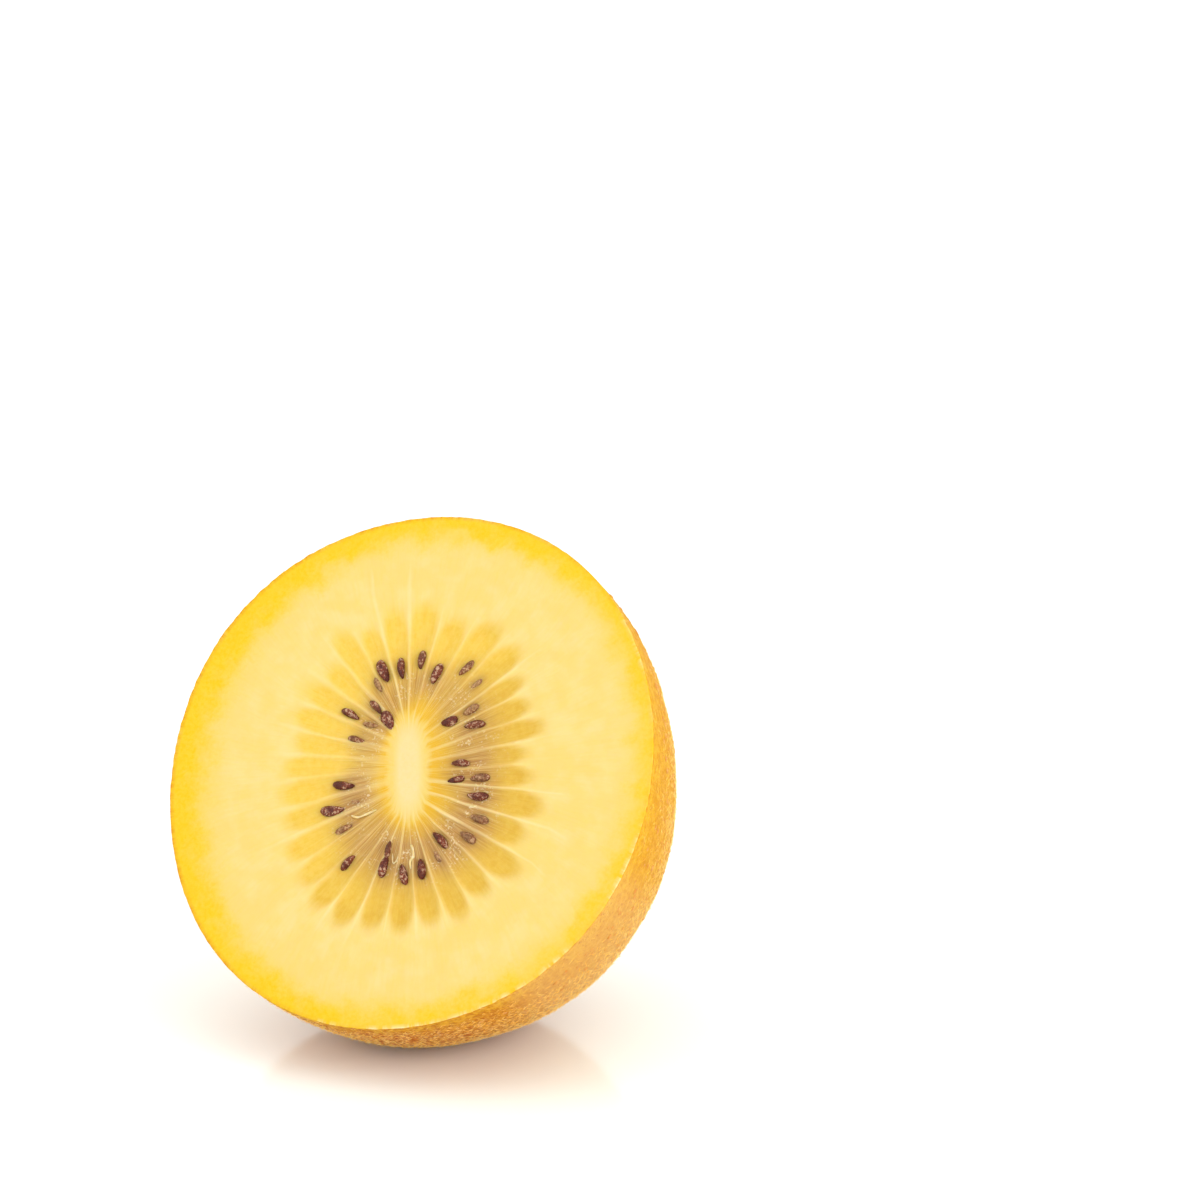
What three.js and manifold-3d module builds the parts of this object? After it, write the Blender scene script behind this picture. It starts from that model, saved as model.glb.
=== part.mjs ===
// Half of a golden kiwi fruit, cut across its middle and resting on a small flat of its skin.
// Millimetres, +Z up. The cut face looks towards -Y and upwards, +X is to its right.
// The origin is the middle of the flat that the fruit rests on.
import * as THREE from "three";
import { mergeVertices } from "three/addons/utils/BufferGeometryUtils.js";
import Module from "manifold-3d";

// The fruit's body
const HALF_WIDTH = 25.4; // of the cut face, side to side
const HALF_HEIGHT = 26.6; // of the cut face, up its slope
const HALF_LENGTH = 34; // from the cut to the stem end
const BLUNTNESS = 2.2; // exponent of the profile along the fruit: 2 is an ellipse, more is blunter
const SHOULDER_SWELL = 0.007; // four soft corners of the section, as a share of its radius
const SHOULDER_ANGLE = 30; // degrees clockwise from the top to the first corner
const FACE_RISE = 32; // degrees by which the cut face looks above the horizon
const REST_DEPTH = 0.75; // how much the resting flat takes off the round skin

// The stem end
const DIMPLE_RADIUS = 4.5;
const DIMPLE_DEPTH = 0.9;
const SCAR_RADIUS = 1.9; // of the corky ring where the stalk was
const SCAR_HEIGHT = 0.45;
const SCAR_EDGE = 0.3; // half the width of the ring's sloping edge
const PIT_DEPTH = 0.8; // of the hole in the ring's middle
const PIT_RADIUS = 1.2;
const PIT_FLOOR_RADIUS = 0.3;

// The pattern of the cut face
const CORE_HALF_WIDTH = 2.3;
const CORE_HALF_HEIGHT = 5.4;
const CORE_LEAN = 13; // degrees that the core's top leans to the left
const LOBE_HALF_WIDTH = 14.2; // of the oval that the seed chambers reach
const LOBE_HALF_HEIGHT = 17.3;
const LOBES = 31; // seed chambers round the core
const LOBE_DEPTH = 0.55; // how far their soft flesh has sunk below the cut
const LOBE_HEAD = 0.12; // share of a chamber's length over which it sinks from the core's level
const LOBE_TAIL = 0.2; // and over which it rises again to the outer flesh
const LOBE_RAGGEDNESS = 0.09; // how unevenly they end, as a share of their length
const CORE_DIP = 0.12; // how far the core's rim lies below the cut

// The seeds
const SEED_HALF_LENGTH = 1.12;
const SEED_HALF_WIDTH = 0.66;
const SEED_HALF_DEPTH = 0.52;
const SEED_TAPER = 0.35; // how much narrower a seed is at its end nearer the core
const SEED_TOP = -0.04; // the seeds end just below the cut
const SEED_SIDES = 8;
const SEED_BANDS = 6;
const SEED_UNEVENNESS = 0.1; // how much they differ in size
// Where each lies on the cut face: degrees clockwise from the top, and distance from the middle
const SEEDS = [
  [4, 10.1], [18, 11.6], [30.5, 6.2], [37, 8.5], [48, 7.9], [77, 5.4], [90, 7.6], [96, 5.2], [103, 8],
  [116, 9.4], [128, 9.8], [144, 8.3], [160, 10.5], [170, 10.8], [182, 10.1], [202, 11], [218, 8.7],
  [234, 8.7], [249, 6.9], [291, 6.7], [303, 8.9], [320, 7.7], [325, 5.8], [333, 10.9], [343, 10.7],
  [354, 11.4],
];

// How finely the surface is divided
const STEPS_PER_LOBE = 4;
const RIM_STEPS = 96;
const CORE_RINGS = [0.4, 0.8, 1];
const LOBE_RINGS = [0.06, 0.16, 0.28, 0.4, 0.52, 0.64, 0.78, 0.9, 1];
// Rings of the skin: degrees from the cut towards the stem end, and points in the ring
const SKIN_RINGS = [
  [4, 96], [11, 96], [18, 96], [25, 96], [32, 96], [39, 84], [46, 84],
  [53, 72], [60, 60], [67, 48], [73, 36], [78, 24],
];
const TIP_RINGS = [4.2, 3.2, 2.4, 1.9, 1.4, 0.9, 0.4]; // radii in the dimple and on the scar
const TIP_STEPS = 20;

const TURN = 2 * Math.PI;
const radians = THREE.MathUtils.degToRad;

// A repeatable draw from -1 to 1 for whole number k.
function draw(k) {
  const wide = Math.sin(k * 12.9898 + 4.1414) * 43758.5453;
  return 2 * (wide - Math.floor(wide)) - 1;
}

// Angles on the cut face run clockwise from the top, as seen from the front.
function rimPoint(angle) {
  const swell = 1 + SHOULDER_SWELL * Math.cos(4 * (angle - radians(SHOULDER_ANGLE)));
  return new THREE.Vector3(
    HALF_WIDTH * swell * Math.sin(angle),
    HALF_HEIGHT * swell * Math.cos(angle),
    0,
  );
}

function towards(angle) {
  return new THREE.Vector3(Math.sin(angle), Math.cos(angle), 0);
}

function corePoint(angle) {
  const lean = radians(CORE_LEAN);
  return towards(angle + lean)
    .multiply(new THREE.Vector3(CORE_HALF_WIDTH, CORE_HALF_HEIGHT, 0))
    .applyAxisAngle(new THREE.Vector3(0, 0, 1), lean);
}

// How far the chamber at an angle reaches, as a share of the way from the core to the oval.
function lobeReach(angle) {
  const lobe = Math.floor((angle / TURN) * LOBES);
  return 1 - LOBE_RAGGEDNESS * (0.5 + 0.5 * draw(lobe));
}

function lobePoint(angle, share) {
  const outer = towards(angle);
  outer.divideScalar(Math.hypot(outer.x / LOBE_HALF_WIDTH, outer.y / LOBE_HALF_HEIGHT));
  return corePoint(angle).lerp(outer, share);
}

// How far the soft flesh of a chamber lies below the cut: deepest along its middle, level at its walls.
function lobeSink(angle, share) {
  const reach = lobeReach(angle);
  const across = ((angle / TURN) * LOBES) % 1;
  const walls = Math.sqrt(Math.abs(Math.sin(Math.PI * across)));
  const start = THREE.MathUtils.smoothstep(share, 0, LOBE_HEAD);
  const end = 1 - THREE.MathUtils.smoothstep(share, reach - LOBE_TAIL, reach);
  return LOBE_DEPTH * walls * start * end;
}

// A point of the skin: turn round the fruit, and rise from 0 at the cut to a quarter turn at the stem end.
function skinPoint(angle, rise) {
  const section = rimPoint(angle).multiplyScalar(Math.cos(rise));
  section.z = -HALF_LENGTH * Math.sin(rise) ** (2 / BLUNTNESS);
  return section;
}

// The stem end's dimple, with the corky ring and its pit, at a radius from the fruit's axis.
function tipHeight(radius) {
  const share = radius / HALF_WIDTH;
  const round = -HALF_LENGTH * (1 - share ** 2) ** (1 / BLUNTNESS);
  const dimple = DIMPLE_DEPTH * Math.exp(-2 * (radius / DIMPLE_RADIUS) ** 2);
  const ring = 1 - THREE.MathUtils.smoothstep(radius, SCAR_RADIUS - SCAR_EDGE, SCAR_RADIUS + SCAR_EDGE);
  const pit = 1 - THREE.MathUtils.smoothstep(radius, PIT_FLOOR_RADIUS, PIT_RADIUS);
  return round + dimple - SCAR_HEIGHT * ring + PIT_DEPTH * pit;
}

// Closed surfaces are built as rings of points that all start at the top and run clockwise.
class Skinner {
  points = [];
  faces = [];

  ring(count, place) {
    const first = this.points.length;
    for (let i = 0; i < count; i++) this.points.push(place((i / count) * TURN));
    return Array.from({ length: count }, (_, i) => first + i);
  }

  bridge(inner, outer) {
    let i = 0;
    let j = 0;
    while (i < inner.length || j < outer.length) {
      const here = inner[i % inner.length];
      const there = outer[j % outer.length];
      const stepInner = j === outer.length ||
        (i < inner.length && (i + 1) / inner.length <= (j + 1) / outer.length);
      if (stepInner) this.faces.push(here, inner[++i % inner.length], there);
      else this.faces.push(here, outer[++j % outer.length], there);
    }
  }

  cap(ring, tip, facesBack) {
    const middle = this.points.push(tip) - 1;
    ring.forEach((here, i) => {
      const next = ring[(i + 1) % ring.length];
      this.faces.push(...(facesBack ? [here, next, middle] : [middle, next, here]));
    });
  }

  geometry() {
    return new THREE.BufferGeometry().setFromPoints(this.points).setIndex(this.faces);
  }
}

function fruitGeometry() {
  const skin = new Skinner();
  const lobeSteps = LOBES * STEPS_PER_LOBE;
  const face = CORE_RINGS.map((share) =>
    skin.ring(share < 1 ? lobeSteps / 4 : lobeSteps, (angle) => {
      const point = corePoint(angle).multiplyScalar(share);
      point.z = share < 1 ? 0 : -CORE_DIP;
      return point;
    }));
  for (const share of LOBE_RINGS) {
    face.push(skin.ring(lobeSteps, (angle) => {
      const point = lobePoint(angle, share);
      point.z = -lobeSink(angle, share);
      return point;
    }));
  }
  const rim = skin.ring(RIM_STEPS, rimPoint);
  const back = SKIN_RINGS.map(([rise, steps]) =>
    skin.ring(steps, (angle) => skinPoint(angle, radians(rise))));
  for (const radius of TIP_RINGS) {
    back.push(skin.ring(TIP_STEPS, (angle) => new THREE.Vector3(
      radius * Math.sin(angle), radius * Math.cos(angle), tipHeight(radius))));
  }
  const rings = [...face, rim, ...back];
  skin.cap(rings[0], new THREE.Vector3(0, 0, 0), false);
  rings.slice(1).forEach((ring, i) => skin.bridge(rings[i], ring));
  skin.cap(rings.at(-1), new THREE.Vector3(0, 0, tipHeight(0)), true);
  return skin.geometry();
}

// One flat, pear-shaped seed that points away from the nearest part of the core, its narrow end inwards.
function seedGeometry(angle, distance, number) {
  const place = towards(angle).multiplyScalar(distance);
  const coreAxis = towards(radians(-CORE_LEAN));
  const nearest = THREE.MathUtils.clamp(place.dot(coreAxis), -CORE_HALF_HEIGHT / 2, CORE_HALF_HEIGHT / 2);
  const along = place.clone().addScaledVector(coreAxis, -nearest);
  const size = 1 + SEED_UNEVENNESS * draw(number);
  const seed = new THREE.SphereGeometry(1, SEED_SIDES, SEED_BANDS);
  seed.rotateX(Math.PI / 2);
  const corner = new THREE.Vector3();
  const places = seed.getAttribute("position");
  for (let i = 0; i < places.count; i++) {
    corner.fromBufferAttribute(places, i);
    corner.x *= 1 + SEED_TAPER * 0.5 * (corner.y - 1);
    places.setXYZ(i, corner.x, corner.y, corner.z);
  }
  seed.scale(SEED_HALF_WIDTH * size, SEED_HALF_LENGTH * size, SEED_HALF_DEPTH);
  seed.rotateZ(Math.atan2(along.y, along.x) - Math.PI / 2);
  seed.translate(place.x, place.y, SEED_TOP - SEED_HALF_DEPTH);
  return seed;
}

const wasm = await Module();
wasm.setup();

function solidOf(geometry) {
  const bare = geometry.clone();
  bare.deleteAttribute("normal");
  bare.deleteAttribute("uv");
  const merged = mergeVertices(bare, 1e-4);
  return new wasm.Manifold(new wasm.Mesh({
    numProp: 3,
    vertProperties: merged.getAttribute("position").array,
    triVerts: new Uint32Array(merged.index.array),
  }));
}

function geometryOf(solid) {
  const { vertProperties, triVerts } = solid.getMesh();
  return new THREE.BufferGeometry()
    .setAttribute("position", new THREE.BufferAttribute(vertProperties, 3))
    .setIndex(new THREE.BufferAttribute(triVerts, 1));
}

function withSeeds(flesh) {
  return SEEDS.reduce((solid, [degrees, distance], number) =>
    solid.add(solidOf(seedGeometry(radians(degrees), distance, number))), flesh);
}

// Leans the fruit back as it lies, cuts the resting flat, and puts the middle of the flat at the origin.
function laidDown(solid) {
  const fruit = geometryOf(solid).rotateX(radians(90 - FACE_RISE));
  fruit.computeBoundingBox();
  const rest = fruit.boundingBox.min.z + REST_DEPTH;
  const span = 4 * HALF_LENGTH;
  const slab = new THREE.BoxGeometry(span, span, span);
  slab.translate(0, 0, rest - span / 2);
  const cut = geometryOf(solidOf(fruit).subtract(solidOf(slab)));
  const flat = new THREE.Box3();
  const corner = new THREE.Vector3();
  const places = cut.getAttribute("position");
  for (let i = 0; i < places.count; i++) {
    corner.fromBufferAttribute(places, i);
    if (Math.abs(corner.z - rest) < 1e-3) flat.expandByPoint(corner);
  }
  const middle = flat.getCenter(new THREE.Vector3());
  return cut.translate(-middle.x, -middle.y, -rest);
}

function kiwiHalf() {
  const fruit = laidDown(withSeeds(solidOf(fruitGeometry())));
  fruit.computeVertexNormals();
  const mesh = new THREE.Mesh(fruit, new THREE.MeshStandardMaterial({
    color: 0xf2b53a,
    roughness: 0.5,
    metalness: 0,
  }));
  mesh.name = "kiwi_half";
  return mesh;
}

const part = new THREE.Group();
part.add(kiwiHalf());

export default part;
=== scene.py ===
# Looks of a golden kiwi fruit half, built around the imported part.
# The fruit's own frame has its middle on the cut face: x to the right, y up the face, z out of the cut.
# Sizes in that frame are millimetres. Angles on the face run clockwise from the top.
import itertools
import math

import bpy
import numpy as np
from mathutils import Matrix, Vector


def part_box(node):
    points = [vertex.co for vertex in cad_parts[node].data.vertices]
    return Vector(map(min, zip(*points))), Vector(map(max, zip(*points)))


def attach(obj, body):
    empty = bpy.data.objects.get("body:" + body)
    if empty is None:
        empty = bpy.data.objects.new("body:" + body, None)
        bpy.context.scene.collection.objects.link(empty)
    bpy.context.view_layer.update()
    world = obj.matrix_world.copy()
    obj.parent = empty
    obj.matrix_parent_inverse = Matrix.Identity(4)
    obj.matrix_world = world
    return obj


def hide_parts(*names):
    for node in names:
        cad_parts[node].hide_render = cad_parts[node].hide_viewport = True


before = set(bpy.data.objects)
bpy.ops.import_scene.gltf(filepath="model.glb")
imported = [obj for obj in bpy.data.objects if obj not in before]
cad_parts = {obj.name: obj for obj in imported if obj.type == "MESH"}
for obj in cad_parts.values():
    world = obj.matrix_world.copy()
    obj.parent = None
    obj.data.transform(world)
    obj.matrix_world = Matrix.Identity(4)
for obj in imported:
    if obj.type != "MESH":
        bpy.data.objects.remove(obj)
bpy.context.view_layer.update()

MM = 0.001
TURN = 2 * math.pi

# The fruit's body, as in the part
HALF_WIDTH = 25.4
HALF_HEIGHT = 26.6
HALF_LENGTH = 34
BLUNTNESS = 2.2  # of its stem end: 2 would be an ellipse's
SHOULDER_SWELL = 0.007  # how far its four soft corners stand out, as a share of its radius
SHOULDER_ANGLE = 30
FACE_RISE = 32  # degrees above the horizon that the cut face looks at
DIMPLE_RADIUS = 4.5
DIMPLE_DEPTH = 0.9
SCAR_RADIUS = 1.9
SCAR_HEIGHT = 0.45
PIT_RADIUS = 1.3  # of the pit that the stalk left in the scar
PIT_DEPTH = 0.8

# Where the skin changes round the fruit
EDGE_GLINT_AT = 115  # its torn edge carries a painted glint
LIT_SIDE_AT = 65  # it is smoother, and painted light makes it more golden
SHEEN_STRIP_AT = 125  # painted sheen makes it paler and browner

# The cut face
CORE_HALF_WIDTH = 2.3
CORE_HALF_HEIGHT = 5.4
CORE_LEAN = 13
LOBE_HALF_WIDTH = 14.2
LOBE_HALF_HEIGHT = 17.3
CORE_BLUNTNESS = 2.6
CHAMBER_DEPTH = 0.26
CORE_SINK = 0.05  # how far the edge of the core has sunk
FLESH_SINK = 0.02  # how uneven the outer flesh is
FINGER_BLUNTNESS = 1.5  # how much sooner a finger of golden flesh ends at its sides
WALL_HALF_WIDTH = 0.09
BAND_WIDTH = 3.2
BROAD_BAND_WIDTH = 5.0
LIP_HEIGHT = 0.09  # of the skin's uneven edge, where the knife cut it
LIP_SINK = 0.04
# Where the face changes round its middle
SOFT_WALLS_AT = 280
CLEAR_AT = -60  # the flesh is clearest and most golden
BROAD_BAND_AT = -90
WEAK_BAND_AT = 110
# Each seed chamber: degrees round the face to its tip, and millimetres from the middle to its tip
CHAMBERS = [
    (6, 16.9), (20, 17.5), (33, 16.9), (43.5, 15), (53.5, 14.5), (65, 15), (76, 13), (87, 13.8),
    (99, 15.6), (113, 15.5), (125, 17.1), (138, 16.6), (148, 17.6), (158.5, 17.1), (170, 17.4),
    (182, 17.3), (193.5, 17.7), (204, 17.3), (214, 16.2), (227, 15.6), (238, 14.4), (252, 14.5),
    (263.5, 14), (276, 13.6), (287.5, 14.8), (299, 15), (311.5, 15.3), (321, 17.6), (331.5, 16.7),
    (341, 17.6), (354, 18),
]
# How bright the wall after each chamber is, and how far past the chambers it runs, in millimetres
WALLS = [
    (0.35, 0), (0.3, 0), (0.7, 0.5), (0.5, 0), (0.5, 0.5), (0.6, 0.5), (0.3, 0), (0.85, 1.5),
    (1.0, 3), (1.0, 1.5), (0.6, 0), (0.35, 0), (0.6, 0), (0.7, 0.5), (0.6, 0), (0.75, 3),
    (0.6, 1), (0.25, 0), (0.35, 0), (0.85, 3), (0.65, 1.5), (0.5, 0.5), (0.7, 1), (0.8, 1),
    (0.6, 0.5), (0.85, 1.5), (0.8, 0.5), (0.35, 0), (1.0, 4), (0.9, 4), (0.5, 0),
]
# Each seed: degrees round the face, distance from the middle, half length, half width, turn and depth
SEEDS = [
    (4, 10.1, 1.15, 0.62, 0, 0.1), (18.5, 11.6, 1.05, 0.5, 8, 0.32),
    (30.5, 6.2, 0.92, 0.68, 12, 0.12), (37, 8.5, 0.95, 0.55, 0, 0.42),
    (48, 7.9, 1.15, 0.56, 10, 0.22), (77, 5.4, 1.0, 0.52, 6, 0.2), (90, 7.6, 1.05, 0.6, -4, 0.3),
    (95.5, 5.2, 0.92, 0.5, -12, 0.1), (103.5, 8.0, 1.15, 0.6, 2, 0.08),
    (116, 9.4, 1.05, 0.6, 4, 0.36), (128.5, 9.8, 1.0, 0.62, 4, 0.34),
    (144, 8.3, 1.15, 0.56, -6, 0.16), (160, 10.5, 1.1, 0.58, 0, 0.08),
    (170, 10.8, 1.12, 0.56, -18, 0.16), (182, 10.1, 1.15, 0.6, -4, 0.08),
    (202.5, 11.0, 1.0, 0.5, 4, 0.16), (218.5, 8.7, 1.0, 0.5, 6, 0.4),
    (234, 8.7, 1.3, 0.74, 8, 0.08), (249.5, 6.9, 1.2, 0.6, 8, 0.12),
    (291, 6.65, 0.95, 0.5, 4, 0.28), (303.5, 8.9, 1.12, 0.54, 0, 0.1),
    (320.5, 7.7, 0.95, 0.5, 4, 0.24), (325, 5.75, 1.12, 0.84, 20, 0.02),
    (333, 10.9, 1.3, 0.74, 0, 0.04), (343, 10.7, 1.15, 0.52, 0, 0.14),
    (354, 11.4, 1.0, 0.55, -2, 0.24), (28, 10.8, 0.9, 0.45, 0, 0.5), (149, 9.8, 1.0, 0.52, -8, 0.5),
    (182, 8.3, 0.95, 0.42, 0, 0.24), (328, 9.8, 1.0, 0.5, 6, 0.45), (309, 6.5, 0.9, 0.4, -16, 0.42),
    (231, 6.2, 0.7, 0.4, 0, 0.52),
]
# The greyer, clearer flesh about the seeds: degrees round the face, middle, half width and strength
MURK = [
    (0, 9.3, 1.8, 0.65), (30, 7.8, 3.0, 0.62), (60, 7.2, 2.5, 0.7), (90, 6.6, 2.8, 0.85),
    (120, 8.8, 2.7, 0.95), (150, 9.2, 2.7, 0.95), (180, 8.8, 2.8, 0.85), (210, 7.2, 3.0, 0.78),
    (240, 5.9, 2.0, 1.0), (270, 4.7, 1.7, 0.45), (300, 5.5, 2.1, 0.65), (330, 7.2, 3.3, 0.6),
]
# A patch of clear amber flesh: its middle on the face, and its half width and height
AMBER = (1.1, -7.6, 0.8, 1.6)
# Pale threads that the knife left below the core: points on the face, and each thread's half width
THREADS = [
    ([(2.0, -7.6), (2.3, -8.0), (2.5, -8.7), (2.3, -9.3), (2.55, -10.0)], 0.15),
    ([(0.3, -8.7), (0.42, -9.3), (0.6, -9.65), (0.85, -9.35), (1.0, -8.6)], 0.06),
    ([(-4.9, -5.4), (-4.2, -5.5), (-3.4, -5.1), (-2.4, -4.5)], 0.11),
]

# How finely the surface is divided: the points in a ring of each zone, and where its rings lie
CORE_STEPS = 240
LOBE_STEPS = 720
RIM_STEPS = 720
BACK_STEPS = 360
CORE_SHARES = np.linspace(0.08, 0.94, 12)  # from the middle to the core's outline
LOBE_SHARES = np.linspace(0, 1.16, 48)  # from the core's outline past the chambers' oval
RIM_START = 1.18
RIM_SHARES = np.append(np.linspace(0, 0.98, 20) ** 0.85, [0.99, 1])  # from there to the skin
SIDE_RISES = np.concatenate([[0.25, 0.7, 1.3], np.linspace(2, 28, 18)])  # degrees from the cut
BACK_RISES = np.concatenate([np.linspace(29, 82, 52), np.linspace(83, 89.6, 22)])


def smoothstep(low, high, x):
    t = np.clip((x - low) / (high - low), 0, 1)
    return t * t * (3 - 2 * t)


def lattice(cells, seed):
    """A repeatable value from -1 to 1 for each row of whole numbers."""
    x, y, z = (cells[..., i].astype(np.int64) for i in range(3))
    h = (x * 374761393 + y * 668265263 + z * 1440662683 + seed * 974634777) & 0xFFFFFFFF
    h = ((h ^ (h >> 13)) * 1274126177) & 0xFFFFFFFF
    h = ((h ^ (h >> 16)) * 2246822519) & 0xFFFFFFFF
    return (h ^ (h >> 15)) / 0x7FFFFFFF - 1


def noise(points, seed):
    """Smooth noise from -1 to 1, with one bump to a unit."""
    cell = np.floor(points).astype(np.int64)
    share = points - cell
    share = share * share * (3 - 2 * share)
    total = 0
    for corner in itertools.product((0, 1), repeat=3):
        weight = np.prod(np.where(corner, share, 1 - share), axis=-1)
        total = total + weight * lattice(cell + np.array(corner), seed)
    return total


def fractal(points, seed):
    """Three layers of noise, each half as strong as the one before and twice as fine."""
    return sum(noise(points * 2.03 ** k, seed + 7 * k) / 2 ** k for k in range(3)) / 1.75


# Where the fruit's frame lies in the part's

def rim_radius(angle):
    """Half width and half height of the section, with its soft corners, at an angle."""
    swell = 1 + SHOULDER_SWELL * np.cos(4 * (angle - math.radians(SHOULDER_ANGLE)))
    return np.stack([HALF_WIDTH * swell, HALF_HEIGHT * swell], -1)


def towards(angle):
    return np.stack([np.sin(angle), np.cos(angle)], -1)


def face_centre(rise):
    """The middle of the cut face in the part's frame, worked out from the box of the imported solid."""
    low, high = (np.array(corner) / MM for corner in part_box("kiwi_half"))
    angle = np.linspace(0, TURN, 97)
    outline = rim_radius(angle) * towards(angle)
    return np.array([
        (low[0] + high[0]) / 2 - (outline[:, 0].min() + outline[:, 0].max()) / 2,
        low[1] - outline[:, 1].min() * math.sin(rise),
        high[2] - outline[:, 1].max() * math.cos(rise),
    ])


def face_axes(rise):
    return np.array([
        [1, 0, 0],
        [0, math.sin(rise), math.cos(rise)],
        [0, -math.cos(rise), math.sin(rise)],
    ])


FACE_CENTRE = face_centre(math.radians(FACE_RISE))
FACE_AXES = face_axes(math.radians(FACE_RISE))


def placed(points):
    """Points of the fruit's frame as metres in the part's frame."""
    return (FACE_CENTRE + points @ FACE_AXES) * MM


# The cut face's plan

def core_point(angle):
    """Points on the core's outline, which is an oval that leans."""
    lean = math.radians(CORE_LEAN)
    upright = towards(angle + lean) * [CORE_HALF_WIDTH, CORE_HALF_HEIGHT]
    turn = np.array([[math.cos(lean), math.sin(lean)], [-math.sin(lean), math.cos(lean)]])
    return upright @ turn


def oval_point(angle):
    """Points on the oval that the seed chambers end at."""
    out = towards(angle)
    return out / np.hypot(out[..., 0] / LOBE_HALF_WIDTH, out[..., 1] / LOBE_HALF_HEIGHT)[..., None]


def lobe_point(angle, share):
    """Points a share of the way from the core's outline to the chambers' oval."""
    inner = core_point(angle)
    return inner + (oval_point(angle) - inner) * share


def chamber_at(angle):
    """For each angle: the chamber that it lies in, and how far across it, from -1 to 1."""
    tips = np.array([a for a, _ in CHAMBERS])
    gaps = (np.roll(tips, -1) - tips) % 360
    walls = tips + gaps / 2
    degrees = np.degrees(angle) % 360
    number = np.searchsorted(walls, np.where(degrees > walls[-1], degrees - 360, degrees))
    number = number % len(tips)
    before = walls[number - 1]
    width = (walls[number] - before) % 360
    across = 2 * (((degrees - before) % 360) / width) - 1
    return number, across


def seed_place(seed):
    """A seed's middle on the face and the angle that it points outwards at, clockwise from the top."""
    degrees, distance, _, _, turn, _ = seed
    place = towards(math.radians(degrees)) * distance
    core_axis = towards(math.radians(-CORE_LEAN))
    nearest = np.clip(place @ core_axis, -CORE_HALF_HEIGHT / 2, CORE_HALF_HEIGHT / 2) * core_axis
    along = place - nearest
    return place, math.atan2(along[0], along[1]) + math.radians(turn)


def finger_marks(radius, polar, grain, number, across):
    """How far points lie inside the fingers of golden flesh, the fingers as they show, the pale walls
    that split them, and how bright the nearest wall is."""
    reach = np.array([r for _, r in CHAMBERS])[number]
    tip = radius + FINGER_BLUNTNESS * across ** 2 + 0.25 * noise(grain * 1.4, 5)
    inside = 1 - smoothstep(reach - 2.4, reach + 0.75, tip)
    half_width = TURN * radius / len(CHAMBERS) / 2
    from_wall = (1 - np.abs(across)) * half_width

    beside = np.where(across > 0, number, number - 1)
    strength = np.array([bright for bright, _ in WALLS])[beside]
    runs = np.array([beyond for _, beyond in WALLS])[beside]
    left = smoothstep(0.1, 0.8, np.cos(polar - math.radians(SOFT_WALLS_AT)))
    wall_half = (WALL_HALF_WIDTH + 0.05 * noise(grain * 0.9, 6)) * (1 + 0.9 * left)
    wall = 1 - smoothstep(wall_half * 0.3, wall_half * 2.0, from_wall)
    fade = 1 - smoothstep(reach + runs - 1.2, reach + runs + 0.8, radius)
    uneven = 0.8 + 0.35 * noise(grain * [0.6, 0.6, 1.6], 7)
    wall = wall * strength * fade * (1 - 0.35 * left) * uneven

    soft_wall = 1 - smoothstep(0.0, 0.75, from_wall)
    paler = (0.3 + 0.3 * smoothstep(12, 16, radius)) * soft_wall * smoothstep(4, 13, radius)
    return inside, inside * (1 - paler), wall, strength


def core_marks(x, y, grain, across, strength):
    """The core's yellow fringe, drawn out along the walls, the pale bar in it, and how far out from
    its middle each point lies, with 1 at its outline."""
    lean = math.radians(CORE_LEAN)
    u = (x * math.cos(lean) + y * math.sin(lean)) / CORE_HALF_WIDTH
    v = (-x * math.sin(lean) + y * math.cos(lean)) / (1.08 * CORE_HALF_HEIGHT)
    plain_out = (np.abs(u) ** CORE_BLUNTNESS + np.abs(v) ** CORE_BLUNTNESS) ** (1 / CORE_BLUNTNESS)
    frayed = smoothstep(0.5, 0.9, plain_out)
    core_out = plain_out + frayed * (0.10 * noise(grain * 1.6, 8) + 0.08 * noise(grain * 3.4, 9))
    fan = np.abs(across) ** 5 * (0.2 + 0.8 * strength) * frayed
    core = 1 - smoothstep(0.74, 1.08, core_out - 0.25 * fan)
    bar = np.abs(1.4 * u) ** CORE_BLUNTNESS + np.abs(1.06 * v) ** CORE_BLUNTNESS
    bar = bar ** (1 / CORE_BLUNTNESS)
    marrow = 1 - smoothstep(0.5, 1.1, bar + (core_out - plain_out) - 0.15 * fan)
    return core, marrow, core_out


def gold_mark(x, y, lobe, core_out):
    """Deeper gold close to the core, and in the amber patch."""
    gold = lobe * (1 - smoothstep(1.15, 2.3, core_out)) * smoothstep(0.8, 1.1, core_out)
    dx, dy = (x - AMBER[0]) / AMBER[2], (y - AMBER[1]) / AMBER[3]
    return np.maximum(gold, lobe * np.exp(-dx ** 2 - dy ** 2))


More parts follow.
